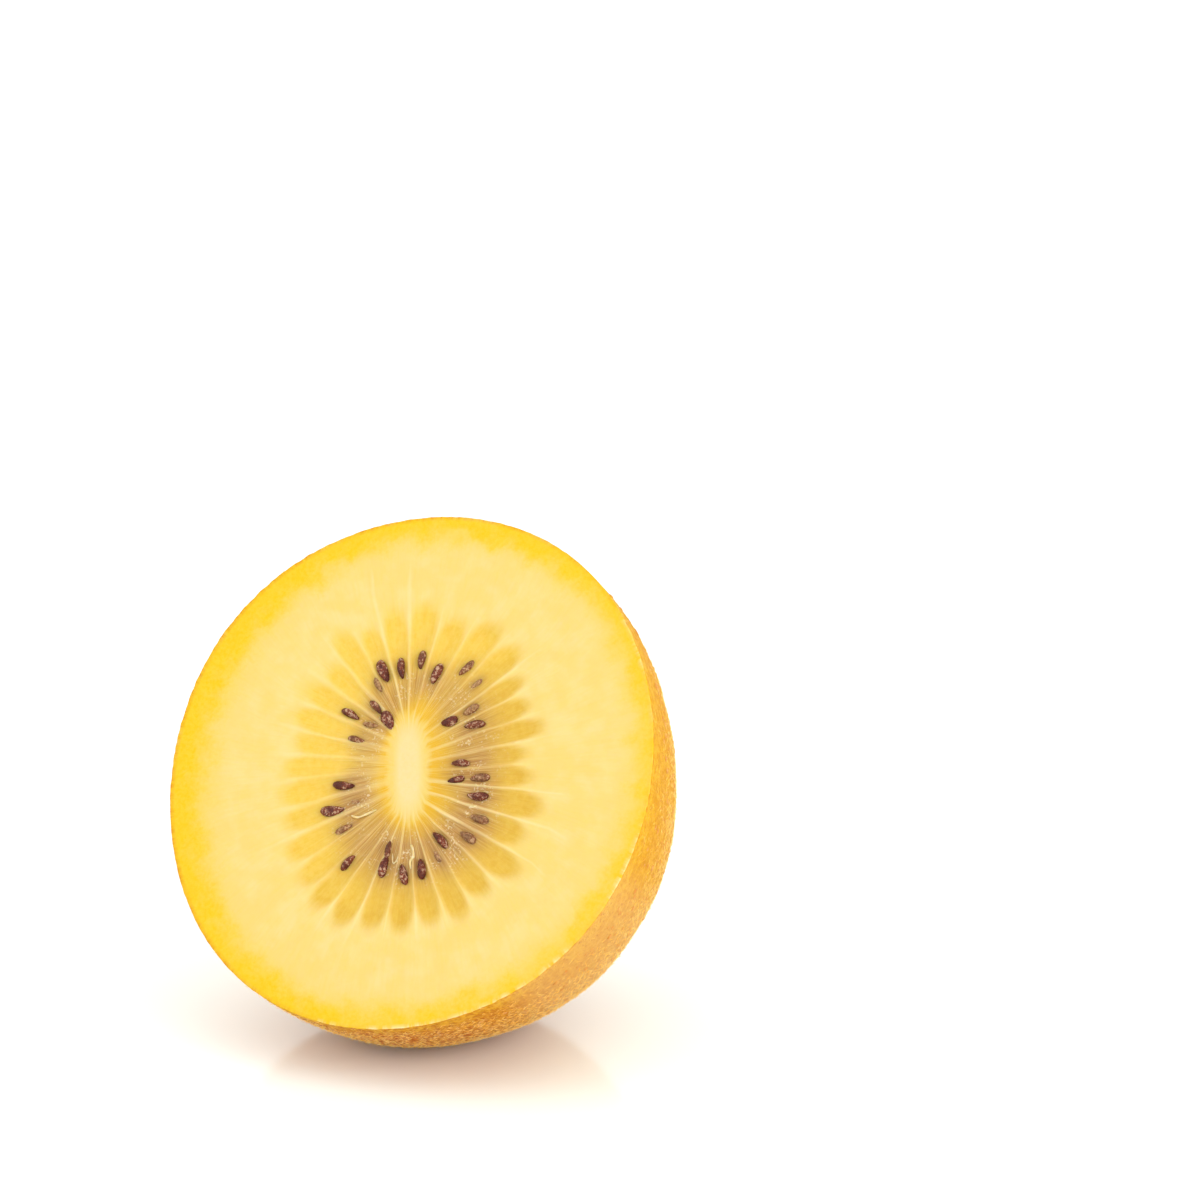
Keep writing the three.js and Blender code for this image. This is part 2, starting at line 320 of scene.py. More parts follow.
def seed_marks(x, y, radius, polar):
    """The grey translucent flesh about the seeds, and the dark ring round each."""
    shade = np.zeros(len(x))
    halo = np.zeros(len(x))
    for seed in SEEDS:
        _, _, half_length, half_width, _, depth = seed
        place, out = seed_place(seed)
        dx, dy = x - place[0], y - place[1]
        side = dx * math.cos(out) - dy * math.sin(out)
        forward = dx * math.sin(out) + dy * math.cos(out)
        near = np.hypot(side / half_width, forward / half_length)
        deep = smoothstep(0.3, 0.5, depth)
        halo = np.maximum(halo, (1 - smoothstep(0.75, 1.25 + 0.5 * deep, near)) * (0.5 + 0.5 * deep))
        shade = np.maximum(shade, 0.6 * np.exp(-(side / 1.1) ** 2 - ((forward + 0.4) / 2.2) ** 2))
    cloud = 1 + 0.5 * fractal(np.stack([x, y, 0 * x], -1) * 0.4 + 4.3, 21)
    murk = np.array(MURK + [(360, *MURK[0][1:])]).T
    middle, half, strong = (np.interp(np.degrees(polar) % 360, murk[0], row) for row in murk[1:])
    ring = strong * cloud * np.exp(-np.abs((radius - middle) / half) ** 2.5)
    return np.clip(0.35 * shade + ring, 0, 1), halo


def band_mark(x, y, polar):
    """The deeper yellow band under the skin: broadest on the left."""
    rim = rim_radius(polar)
    edge = np.hypot(x / rim[:, 0], y / rim[:, 1])
    depth = (1 - edge) * (HALF_WIDTH + HALF_HEIGHT) / 2
    left = smoothstep(0.2, 1.0, np.cos(polar - math.radians(BROAD_BAND_AT)))
    broad = BAND_WIDTH + (BROAD_BAND_WIDTH - BAND_WIDTH) * left
    patchy = fractal(np.stack([x, y, 0 * x], -1) * 0.55, 31)
    strong = 1 - 0.2 * smoothstep(-0.2, 0.9, np.cos(polar - math.radians(WEAK_BAND_AT)))
    return strong * np.exp(-(np.maximum(depth + 0.9 * patchy, 0) / broad) ** 2)


def face_marks(xy, angle, share):
    """What the cut face holds at each point, each from 0 to 1, and how far it has sunk."""
    x, y = xy[:, 0], xy[:, 1]
    radius = np.hypot(x, y)
    polar = np.arctan2(x, y)
    grain = np.stack([np.sin(angle) * 9, np.cos(angle) * 9, radius * 0.35], -1)
    wander = noise(np.stack([x, y, 0 * x], -1) * 0.45, 3)
    sway = (1 - 0.8 * smoothstep(9, 16, radius)) * (0.012 * wander + 0.006 * noise(grain * 0.6, 4))
    number, across = chamber_at(angle + sway)

    inside, lobe, wall, strength = finger_marks(radius, polar, grain, number, across)
    core, marrow, core_out = core_marks(x, y, grain, across, strength)
    shade, halo = seed_marks(x, y, radius, polar)

    chamber_sink = (1 - across ** 2) * inside * smoothstep(0.0, 0.3, share)
    chamber_sink = CHAMBER_DEPTH * chamber_sink * (1 - 0.7 * wall)
    core_sink = CORE_SINK * core_out.clip(0, 1) ** 2
    flesh_sink = FLESH_SINK * (1 - inside) * (0.5 + 0.5 * noise(grain * 2, 41))
    sink = (chamber_sink + flesh_sink) * (1 - core) + core_sink * core
    return {
        "lobe": lobe, "wall": wall, "core": core, "marrow": marrow,
        "gold": gold_mark(x, y, lobe, core_out),
        "shade": shade * inside * smoothstep(0, 0.1, share),
        "halo": halo,
        "band": band_mark(x, y, polar),
        "clear": smoothstep(-0.6, 0.7, np.cos(polar - math.radians(CLEAR_AT)) + 0.3 * wander),
        "near": inside * (1 - smoothstep(0.1, 0.7, share)),
    }, sink


# The fruit's surface

FLESH, SKIN = 0, 1  # its material slots
# What its materials read at each point
MARKS = [
    "lobe", "wall", "core", "marrow", "gold", "shade", "halo", "band", "clear",
    "grain_x", "grain_y", "along", "scar", "edge", "edge_glint", "near", "lit_side", "sheen_strip",
]


def add_object(name, mesh):
    made = bpy.data.objects.new(name, mesh)
    bpy.context.collection.objects.link(made)
    return made


def add_piece(name, points, faces, materials, smooth=True):
    """An object from points of the fruit's frame. Nothing of it goes below the floor."""
    points = placed(points)
    points[:, 2] = np.maximum(points[:, 2], 0)
    mesh = bpy.data.meshes.new(name)
    mesh.from_pydata(points.tolist(), [], faces)
    for material in materials:
        mesh.materials.append(material)
    mesh.polygons.foreach_set("use_smooth", [smooth] * len(mesh.polygons))
    mesh.update()
    return add_object(name, mesh)


def add_attribute(piece, name, values):
    layer = piece.data.attributes.new(name, "FLOAT", "POINT")
    layer.data.foreach_set("value", values.astype(np.float32))


class Surface:
    """Rings of points that all start at the top and run clockwise, joined into one closed surface."""

    def __init__(self):
        self.points = []
        self.faces = []
        self.slots = []
        self.marks = {name: [] for name in MARKS}
        self.count = 0
        self.last = None

    def add_points(self, points, marks):
        """Adds points, with a mark of 0 where none is given, and returns their numbers."""
        first = self.count
        self.points.append(points)
        self.count += len(points)
        for name in MARKS:
            self.marks[name].append(marks.get(name, np.zeros(len(points))))
        return np.arange(first, self.count)

    def add_faces(self, faces, slot):
        self.faces.extend(faces)
        self.slots.extend([slot] * len(faces))

    def ring(self, points, slot, marks):
        """Adds a ring and joins it to the one before, with the material slot for the faces between."""
        ring = self.add_points(points, marks)
        if self.last is not None:
            self.join(self.last, ring, slot)
        self.last = ring

    def join(self, inner, outer, slot):
        """Joins two rings: with quads if they have as many points, else with triangles."""
        if len(inner) == len(outer):
            corners = [inner, np.roll(inner, -1), np.roll(outer, -1), outer]
            self.add_faces(np.stack(corners, -1).tolist(), slot)
            return
        n, m = len(inner), len(outer)
        made = []
        i = j = 0
        while i < n or j < m:
            here, there = int(inner[i % n]), int(outer[j % m])
            if j == m or (i < n and (i + 1) * m <= (j + 1) * n):
                i += 1
                made.append([here, int(inner[i % n]), there])
            else:
                j += 1
                made.append([here, int(outer[j % m]), there])
        self.add_faces(made, slot)

    def open_tip(self, point, marks):
        """Closes the first ring with one point of flesh inside it."""
        ring = np.arange(len(self.points[0]))
        tip = self.add_points(np.array([point]), marks)
        fan = np.stack([np.full(len(ring), tip[0]), np.roll(ring, -1), ring], -1)
        self.add_faces(fan.tolist(), FLESH)

    def end_tip(self, point):
        """Closes the last ring with one point of skin."""
        ring = self.last
        tip = self.add_points(np.array([point]), {})
        fan = np.stack([ring, np.roll(ring, -1), np.full(len(ring), tip[0])], -1)
        self.add_faces(fan.tolist(), SKIN)

    def build(self, name, materials):
        piece = add_piece(name, np.concatenate(self.points), self.faces, materials)
        for mark, values in self.marks.items():
            add_attribute(piece, mark, np.concatenate(values))
        piece.data.polygons.foreach_set("material_index", self.slots)
        piece.data.update()
        return piece


def around(count):
    return np.arange(count) / count * TURN


def cut_glint(angle):
    """How much painted glint there is on the torn edge of the skin, from 0 to 1: mostly on the lower
    right.
    """
    place = np.column_stack([np.sin(angle), np.cos(angle), 0 * angle])
    patches = smoothstep(-0.2, 0.5, noise(place * 9, 73))
    return patches * (0.2 + 0.8 * smoothstep(-0.1, 0.7, np.cos(angle - math.radians(EDGE_GLINT_AT))))


def face_ring(surface, xy, angle, share, edge=0):
    """One ring of the cut face. edge says how near it is to the skin, from 0 to 1."""
    marks, sink = face_marks(xy, angle, share)
    marks["edge"] = edge * (1 - 0.7 * smoothstep(-0.3, 0.5, np.cos(angle - math.radians(EDGE_GLINT_AT))))
    # Painted glints along the torn edge of the skin
    marks["edge_glint"] = edge * cut_glint(angle)
    radius = np.hypot(xy[:, 0], xy[:, 1])
    marks["grain_x"] = np.sin(angle)
    marks["grain_y"] = np.cos(angle)
    marks["along"] = radius / HALF_HEIGHT
    surface.ring(np.column_stack([xy, -sink]), FLESH, marks)


def lit_side_share(angle, rise):
    """How much of the smoother skin there is, made more golden by painted light: most on the upper
    right by the cut.
    """
    fades = 1 - 0.75 * smoothstep(0.25, 0.8, np.broadcast_to(rise, angle.shape))
    return fades * smoothstep(-0.25, 0.75, np.cos(angle - math.radians(LIT_SIDE_AT)))


def sheen_strip_side(angle, rise):
    """How much painted sheen there is, which makes the skin paler and browner: on the lower right by
    the cut.
    """
    fades = 1 - 0.7 * smoothstep(0.5, 1.1, np.broadcast_to(rise, angle.shape))
    return fades * smoothstep(0.92, 0.985, np.cos(angle - math.radians(SHEEN_STRIP_AT)))


def skin_lumps(points):
    """Slow unevenness of the skin, in millimetres."""
    return 0.16 * noise(points * 0.11, 61) + 0.07 * noise(points * 0.33, 62)


def skin_point(angle, rise):
    rise = np.broadcast_to(rise, angle.shape)
    section = rim_radius(angle) * towards(angle) * np.cos(rise)[:, None]
    return np.column_stack([section, -HALF_LENGTH * np.sin(rise) ** (2 / BLUNTNESS)])


def skin_surface(angle, rise):
    """Points of the skin, which way is out at each, and how far each lies on the stalk scar."""
    points = skin_point(angle, rise)
    out = points / np.array([HALF_WIDTH ** 2, HALF_HEIGHT ** 2, HALF_LENGTH ** 2])
    out /= np.linalg.norm(out, axis=1)[:, None]
    points = points + out * (skin_lumps(points) * smoothstep(0, 0.12, rise))[:, None]
    radius = np.hypot(points[:, 0], points[:, 1])
    dimple = DIMPLE_DEPTH * np.exp(-2 * (radius / DIMPLE_RADIUS) ** 2)
    scar = 1 - smoothstep(SCAR_RADIUS - 0.5, SCAR_RADIUS + 0.3, radius)
    pit = 1 - smoothstep(0.2, PIT_RADIUS, radius)
    crumb = 0.12 * noise(points * 2.1, 63) * scar
    points[:, 2] += dimple - SCAR_HEIGHT * scar + PIT_DEPTH * pit + crumb
    return points, out, scar


def skin_ring(surface, angle, rise):
    """One ring of the skin, at an angle from the cut towards the stem end."""
    points, _, scar = skin_surface(angle, rise)
    surface.ring(points, SKIN, {
        "grain_x": np.sin(angle), "grain_y": np.cos(angle),
        "along": np.full(len(angle), rise / (math.pi / 2)), "scar": scar,
        "band": np.full(len(angle), 1 - smoothstep(0.0, 0.09, rise)),
        "edge": np.full(len(angle), 1 - smoothstep(0.0, 0.01, rise)),
        # Painted glints along the torn edge of the skin
        "edge_glint": (1 - smoothstep(0.0, 0.01, rise)) * cut_glint(angle),
        # Painted light on the upper right, and painted sheen on the lower right
        "lit_side": lit_side_share(angle, rise), "sheen_strip": sheen_strip_side(angle, rise),
    })


def fruit_surface():
    """The cut face from its middle to the skin, then the skin from the cut to the stem end."""
    surface = Surface()
    angle = around(CORE_STEPS)
    for share in CORE_SHARES:
        face_ring(surface, core_point(angle) * share, angle, np.zeros(len(angle)))
    angle = around(LOBE_STEPS)
    for share in LOBE_SHARES:
        face_ring(surface, lobe_point(angle, share), angle, np.full(len(angle), share))
    angle = around(RIM_STEPS)
    inner = lobe_point(angle, RIM_START)
    outer = rim_radius(angle) * towards(angle)
    for share in RIM_SHARES:
        xy = inner + (outer - inner) * share
        face_ring(surface, xy, angle, np.full(len(angle), 1.2), edge=smoothstep(0.972, 0.99, share))
    # The knife's edge: a fine uneven lip of skin
    lip = LIP_HEIGHT * noise(np.stack([np.sin(angle), np.cos(angle), 0 * angle], -1) * 55, 71)
    surface.points[-1][:, 2] = -LIP_SINK + lip
    surface.points[-1][:, :2] *= (1 + 0.0012 * noise(surface.points[-1] * 1.7, 72))[:, None]
    for rise in np.radians(SIDE_RISES):
        skin_ring(surface, angle, rise)
    angle = around(BACK_STEPS)
    for rise in np.radians(BACK_RISES):
        skin_ring(surface, angle, rise)
    surface.open_tip([0, 0, 0], {"core": np.ones(1), "marrow": np.ones(1)})
    surface.end_tip([0, 0, -HALF_LENGTH + DIMPLE_DEPTH - SCAR_HEIGHT + PIT_DEPTH])
    return surface


# Materials

LIGHT_ON_FACE = 1.5  # how bright a white surface comes out where the cut face is


class Nodes:
    """A short way to write a material's node tree."""

    def __init__(self, name):
        self.material = bpy.data.materials.new(name)
        self.material.use_nodes = True
        self.tree = self.material.node_tree
        self.tree.nodes.clear()
        self.shader = self.add("ShaderNodeBsdfPrincipled")
        output = self.add("ShaderNodeOutputMaterial")
        self.link(self.shader.outputs["BSDF"], output.inputs["Surface"])

    def add(self, kind, **settings):
        node = self.tree.nodes.new(kind)
        for key, value in settings.items():
            setattr(node, key, value)
        return node

    def link(self, source, target):
        self.tree.links.new(source, target)

    def feed(self, socket, value):
        if isinstance(value, bpy.types.NodeSocket):
            self.link(value, socket)
        else:
            socket.default_value = value

    def attribute(self, name):
        return self.add("ShaderNodeAttribute", attribute_name=name).outputs["Fac"]

    def place(self):
        return self.add("ShaderNodeTexCoord").outputs["Object"]

    def math(self, operation, a, b, clamp):
        node = self.add("ShaderNodeMath", operation=operation, use_clamp=clamp)
        self.feed(node.inputs[0], a)
        self.feed(node.inputs[1], b)
        return node.outputs[0]

    def times(self, a, b, clamp=False):
        return self.math("MULTIPLY", a, b, clamp)

    def plus(self, a, b, clamp=False):
        return self.math("ADD", a, b, clamp)

    def scaled(self, vector, factors):
        node = self.add("ShaderNodeVectorMath", operation="MULTIPLY")
        self.feed(node.inputs[0], vector)
        node.inputs[1].default_value = factors
        return node.outputs[0]

    def noise(self, vector, scale, detail, roughness):
        node = self.add("ShaderNodeTexNoise")
        self.feed(node.inputs["Vector"], vector)
        for key, number in zip(("Scale", "Detail", "Roughness"), (scale, detail, roughness)):
            node.inputs[key].default_value = number
        return node.outputs["Fac"]

    def cells(self, vector, scale, feature="F1"):
        node = self.add("ShaderNodeTexVoronoi", feature=feature)
        self.feed(node.inputs["Vector"], vector)
        node.inputs["Scale"].default_value = scale
        return node.outputs["Distance"]

    def ramp(self, value, low, high, start=0.0, end=1.0):
        """A smooth step from start to end as the value goes from low to high."""
        node = self.add("ShaderNodeMapRange", interpolation_type="SMOOTHSTEP")
        self.feed(node.inputs["Value"], value)
        for key, number in zip(("From Min", "From Max", "To Min", "To Max"), (low, high, start, end)):
            node.inputs[key].default_value = number
        return node.outputs["Result"]

    def mix(self, share, first, second):
        node = self.add("ShaderNodeMix", data_type="RGBA")
        for key, value in zip((0, 6, 7), (share, first, second)):
            self.feed(node.inputs[key], value)
        return node.outputs[2]

    def finish(self, base, roughness, specular, relief=None, soft=None, ior=1.5):
        """Sets the shader. relief: a height, its strength and its depth. soft: how much light soaks in,
        how far in red, green and blue, and the scale of that."""
        inputs = self.shader.inputs
        self.feed(inputs["Base Color"], base)
        self.feed(inputs["Roughness"], roughness)
        inputs["Specular IOR Level"].default_value = specular
        inputs["IOR"].default_value = ior
        if soft:
            for key, value in zip(("Weight", "Radius", "Scale"), soft):
                inputs["Subsurface " + key].default_value = value
        if relief:
            bump = self.add("ShaderNodeBump")
            for key, value in zip(("Height", "Strength", "Distance"), relief):
                self.feed(bump.inputs[key], value)
            self.link(bump.outputs["Normal"], inputs["Normal"])
        return self.material


def colour(red, green, blue):
    """A colour as seen, from 0 to 255, as the linear colour that a shader takes."""
    seen = np.array([red, green, blue]) / 255
    linear = np.where(seen <= 0.04045, seen / 12.92, ((seen + 0.055) / 1.055) ** 2.4)
    return (*(linear / LIGHT_ON_FACE).tolist(), 1.0)


def radial_grain(n):
    """Coordinates that run long along the fruit's rays and short across them."""
    joined = n.add("ShaderNodeCombineXYZ")
    n.link(n.attribute("grain_x"), joined.inputs[0])
    n.link(n.attribute("grain_y"), joined.inputs[1])
    n.link(n.attribute("along"), joined.inputs[2])
    return joined.outputs[0]


def flesh_material():
    n = Nodes("kiwi_flesh")
    place = n.place()
    grain = radial_grain(n)
    streaks = n.noise(n.scaled(grain, (60, 60, 9)), 1.0, 4, 0.6)
    fine = n.noise(place, 2600, 4, 0.6)
    blotch = n.noise(place, 420, 3, 0.55)

    # The outer flesh, and its golden band under the skin
    pale = n.mix(n.ramp(blotch, 0.35, 0.7), colour(254, 222, 132), colour(254, 228, 152))
    pale = n.mix(n.ramp(streaks, 0.35, 0.75, 0, 0.35), pale, colour(253, 220, 112))
    gold = n.mix(n.ramp(fine, 0.3, 0.7), colour(255, 215, 54), colour(253, 208, 30))
    band_share = n.plus(n.attribute("band"), n.ramp(blotch, 0.3, 0.75, -0.16, 0.12))
    band_share = n.plus(band_share, n.ramp(fine, 0.25, 0.75, -0.04, 0.04), clamp=True)
    base = n.mix(n.ramp(band_share, 0.12, 0.95), pale, gold)

    # The fingers of golden flesh
    pulp = n.plus(n.times(streaks, 0.4), n.times(n.noise(place, 1500, 4, 0.65), 0.6))
    dull = n.mix(n.ramp(pulp, 0.33, 0.67), colour(242, 201, 88), colour(234, 188, 72))
    jelly = n.mix(n.ramp(pulp, 0.33, 0.67), colour(255, 219, 104), colour(252, 208, 82))
    jelly = n.mix(n.attribute("clear"), dull, jelly)
    base = n.mix(n.ramp(n.attribute("lobe"), 0.0, 1.0), base, jelly)
    base = n.mix(n.times(n.attribute("gold"), 0.75), base, colour(244, 190, 40))

    # The greyer, clearer flesh about the seeds, with its dark and light strands, and fine pale specks
    # that are partly grains of the flesh and partly painted glints
    murk = n.mix(n.ramp(streaks, 0.3, 0.7), colour(190, 140, 88), colour(212, 164, 94))
    murk_share = n.times(n.attribute("shade"), n.ramp(streaks, 0.2, 0.65, 0.7, 1.0))
    base = n.mix(murk_share, base, murk)
    strands = n.noise(n.scaled(grain, (75, 75, 6)), 1.0, 4, 0.65)
    dark = n.times(n.ramp(strands, 0.36, 0.5, 0.55, 0), n.attribute("shade"))
    base = n.mix(dark, base, colour(172, 120, 72))
    light = n.times(n.ramp(strands, 0.52, 0.66, 0, 0.6), n.attribute("shade"))
    base = n.mix(light, base, colour(246, 214, 140))
    # Fine pale specks: partly grains of the flesh, partly painted glints
    specks = n.ramp(n.noise(place, 4200, 2, 0.6), 0.54, 0.66, 0, 0.8)
    specks = n.times(specks, n.attribute("shade"))
    specks = n.times(specks, n.ramp(n.noise(place, 700, 2, 0.5), 0.5, 0.62))
    base = n.mix(specks, base, colour(252, 234, 190))
    base = n.mix(n.times(n.attribute("halo"), 0.3), base, colour(158, 108, 70))

    # Fine fibres next to the core, and the walls between the fingers
    threads = n.noise(n.scaled(grain, (130, 130, 5)), 1.0, 3, 0.6)
    fibres = n.times(n.ramp(threads, 0.54, 0.68, 0, 0.55), n.attribute("near"))
    base = n.mix(fibres, base, colour(255, 234, 160))
    wall = n.times(n.attribute("wall"), n.ramp(streaks, 0.2, 0.6, 0.75, 1.0))
    base = n.mix(n.times(wall, 0.66), base, colour(255, 238, 178))

    # The torn edge by the skin, with painted glints on it
    flecks = n.noise(n.scaled(grain, (70, 70, 3)), 1.0, 3, 0.6)
    torn = n.times(n.attribute("edge"), n.ramp(flecks, 0.3, 0.6, 0.9, 0.35))
    base = n.mix(torn, base, colour(218, 134, 30))
    # Painted glints: pale dashes along the torn edge, mostly on the lower right
    dashes = n.noise(n.scaled(grain, (30, 30, 3)), 1.0, 5, 0.7)
    edge_glint = n.times(n.attribute("edge_glint"), n.ramp(dashes, 0.38, 0.58))
    base = n.mix(n.times(edge_glint, 0.85), base, colour(255, 242, 184))

    # The core
    core = n.mix(n.attribute("marrow"), colour(252, 219, 122), colour(253, 231, 168))
    core = n.mix(n.ramp(fine, 0.35, 0.7, 0, 0.4), core, colour(252, 226, 146))
    base = n.mix(n.attribute("core"), base, core)

    roughness = n.ramp(n.attribute("lobe"), 0, 1, 0.4, 0.26)
    relief = n.plus(n.times(streaks, 0.6), n.times(fine, 0.4))
    return n.finish(base, roughness, specular=0.12, relief=(relief, 0.35, 0.00012),
                    soft=(0.5, (1.0, 0.55, 0.18), 0.0008), ior=1.36)


def skin_material():
    n = Nodes("kiwi_skin")
    place = n.place()
    grains = n.cells(place, 3300)
    mottle = n.noise(place, 1500, 4, 0.65)
    patches = n.noise(place, 160, 4, 0.6)
    threads = n.noise(n.scaled(radial_grain(n), (90, 90, 22)), 1.0, 4, 0.6)

    base = n.mix(n.ramp(patches, 0.35, 0.68), colour(250, 164, 24), colour(232, 136, 20))
    base = n.mix(n.ramp(mottle, 0.38, 0.62, 0, 0.85), base, colour(194, 88, 12))
    # Partly painted light: brighter, more golden skin on the upper right, where the light falls; the
    # skin there is also smoother
    bright = n.mix(n.ramp(mottle, 0.35, 0.68), colour(250, 186, 16), colour(238, 164, 20))
    base = n.mix(n.times(n.attribute("lit_side"), 0.8), base, bright)
    base = n.mix(n.ramp(threads, 0.5, 0.72, 0, 0.6), base, colour(255, 194, 60))
    base = n.mix(n.ramp(grains, 0.1, 0.42, 0.4, 0), base, colour(240, 162, 62))
    by_the_cut = n.times(n.attribute("band"), n.ramp(mottle, 0.35, 0.6, 0.6, 0.2))
    base = n.mix(by_the_cut, base, colour(255, 200, 36))

    # Painted sheen, which makes the skin paler and browner on the lower right, and the skin's own small
    # specks there
    specks = n.cells(place, 1500)
    sheen_strip = n.attribute("sheen_strip")
    base = n.mix(n.times(sheen_strip, 0.42), base, colour(246, 190, 120))
    base = n.mix(n.times(sheen_strip, n.ramp(specks, 0.12, 0.26, 0.5, 0)), base, colour(204, 112, 66))

    # The corky scar
    crumbs = n.noise(place, 2600, 4, 0.7)
    cork = n.mix(n.ramp(crumbs, 0.4, 0.62), colour(96, 58, 30), colour(176, 120, 66))
    base = n.mix(n.attribute("scar"), base, cork)

    roughness = n.ramp(mottle, 0.3, 0.7, 0.5, 0.65)
    relief = n.plus(n.times(mottle, 0.7), n.ramp(grains, 0.0, 0.5, 0.5, 0.0))
    return n.finish(base, roughness, specular=0.08, relief=(relief, 0.7, 0.00022),
                    soft=(0.25, (1.0, 0.45, 0.12), 0.0012))


def seed_material():
    n = Nodes("kiwi_seed")
    place = n.place()
    net = n.cells(place, 5200, "DISTANCE_TO_EDGE")
    tone = n.noise(place, 1100, 3, 0.6)
    flecks = n.noise(place, 3600, 3, 0.65)
    highlight_clusters = n.ramp(n.noise(place, 1100, 2, 0.5), 0.42, 0.6)
    base = n.mix(n.ramp(tone, 0.36, 0.64), colour(104, 33, 20), colour(158, 75, 47))
    base = n.mix(n.ramp(net, 0.02, 0.16, 0.65, 0.0), base, colour(62, 16, 10))
    # Painted highlights: clusters of pale flecks stand for glints of light on the wet seed coat
    share = n.times(n.ramp(flecks, 0.5, 0.6, 0, 0.85), highlight_clusters)
    base = n.mix(share, base, colour(236, 192, 156))
    veil = n.times(n.attribute("veil"), n.ramp(flecks, 0.36, 0.6, 0.35, 1.15), clamp=True)
    base = n.mix(veil, base, colour(220, 172, 112))
    return n.finish(base, roughness=0.2, specular=0.3, relief=(n.ramp(net, 0.0, 0.3), 0.8, 0.00008))


# Seeds

SEED_HALF_THICKNESS = 0.5
SEED_NARROWING = 0.2  # how fast a seed narrows towards its point
SEED_MIDDLE = 0.1  # how far below the cut the middle of a seed of no depth lies
SEED_BURIED = 0.42  # the depth from which seeds lie lower still
SEED_VEIL = 0.7  # how much of the deepest seeds' own colour the pulp above them hides
SEED_TURNS = 40
SEED_BANDS = 24


def seed_shape(number, seed):
    """One flat, pear-shaped seed with a finely pitted coat, in the fruit's frame."""
    _, _, half_length, half_width, _, depth = seed
    place, out = seed_place(seed)
    around_it, down_it = np.meshgrid(around(SEED_TURNS), np.linspace(0, math.pi, SEED_BANDS + 1)[1:-1])
    x = np.sin(down_it) * np.cos(around_it)
    y = np.cos(down_it)
    z = np.sin(down_it) * np.sin(around_it)
    x = np.append(x.ravel(), [0, 0])
    y = np.append(y.ravel(), [1, -1])
    z = np.append(z.ravel(), [0, 0])
    unit = np.column_stack([x, y, z])
    pits = 0.035 * noise(unit * [4.5, 6.5, 4.5] + 17 * number, 81)
    pits = pits + 0.02 * noise(unit * 9.1 + number, 82)
    unit = unit * (1 + pits)[:, None]
    body = unit * np.array([0.9 * half_width, 0.97 * half_length, SEED_HALF_THICKNESS])
    body[:, 0] *= 1 + SEED_NARROWING * (y - 1)
    body[:, 0] += 0.06 * np.sin(2.2 * y + number)
    side = body[:, 0] * math.cos(out) + body[:, 1] * math.sin(out)
    forward = -body[:, 0] * math.sin(out) + body[:, 1] * math.cos(out)
    middle = SEED_MIDDLE + 0.5 * depth + 2.5 * max(0, depth - SEED_BURIED)
    return np.column_stack([place[0] + side, place[1] + forward, body[:, 2] - middle])


def seed_faces():
    """The faces of a ball of rings, which end at its top and bottom points."""
    faces = []
    bands = SEED_BANDS - 1
    for row in range(bands - 1):
        for k in range(SEED_TURNS):
            a = row * SEED_TURNS + k
            b = row * SEED_TURNS + (k + 1) % SEED_TURNS
            faces.append([a, b, b + SEED_TURNS, a + SEED_TURNS])
    top, bottom = bands * SEED_TURNS, bands * SEED_TURNS + 1
    last = (bands - 1) * SEED_TURNS
    for k in range(SEED_TURNS):
        faces.append([(k + 1) % SEED_TURNS, k, top])
        faces.append([last + k, last + (k + 1) % SEED_TURNS, bottom])
    return faces


def many(name, shapes, faces, material, smooth=True):
    """One object of many like shapes, which all have the same faces."""
    shapes = np.array(shapes)
    size = shapes.shape[1]
    every = [[v + k * size for v in face] for k in range(len(shapes)) for face in faces]
    return add_piece(name, shapes.reshape(-1, 3), every, [material], smooth)


# Threads on the cut face

THREAD_STEPS = 40
THREAD_SIDES = 10
THREAD_SINK = 0.06
THREAD_FLATNESS = 0.55


def thread_shape(number, points, half_width):
    """One soft thread: a flattened tube along a smooth line that lies in the sunken flesh."""
    points = np.array(points)
    share = np.linspace(0, len(points) - 1, THREAD_STEPS)
    first = np.clip(share.astype(int), 0, len(points) - 2)
    t = (share - first)[:, None]
    before, here = points[np.maximum(first - 1, 0)], points[first]
    after, beyond = points[first + 1], points[np.minimum(first + 2, len(points) - 1)]
    line = here + 0.5 * t * (after - before + t * (
        2 * before - 5 * here + 4 * after - beyond + t * (3 * (here - after) + beyond - before)))
    along = np.gradient(line, axis=0)
    side = np.column_stack([along[:, 1], -along[:, 0]]) / np.linalg.norm(along, axis=1)[:, None]
    ends = np.sin(np.linspace(0.12, math.pi - 0.12, THREAD_STEPS)) ** 0.4
    uneven = 1 + 0.35 * noise(np.column_stack([share * 2.3, share * 0 + number, share * 0]), 95)
    width = half_width * ends * uneven
    turns = around(THREAD_SIDES)
    plan = line[:, None, :] + side[:, None, :] * (width[:, None] * np.cos(turns))[..., None]
    height = THREAD_FLATNESS * width[:, None] * np.sin(turns) - THREAD_SINK
    rings = np.concatenate([plan, height[..., None]], axis=2).reshape(-1, 3)
    tips = np.column_stack([line[[0, -1]], [-THREAD_SINK, -THREAD_SINK]])
    return np.vstack([rings, tips])


def thread_faces():
    faces = []
    last = THREAD_STEPS * THREAD_SIDES
    for k in range(THREAD_SIDES):
        nxt = (k + 1) % THREAD_SIDES
        for row in range(THREAD_STEPS - 1):
            a, b = row * THREAD_SIDES, (row + 1) * THREAD_SIDES
            faces.append([a + k, a + nxt, b + nxt, b + k])
        faces.append([nxt, k, last])
        faces.append([last - THREAD_SIDES + k, last - THREAD_SIDES + nxt, last + 1])
    return faces


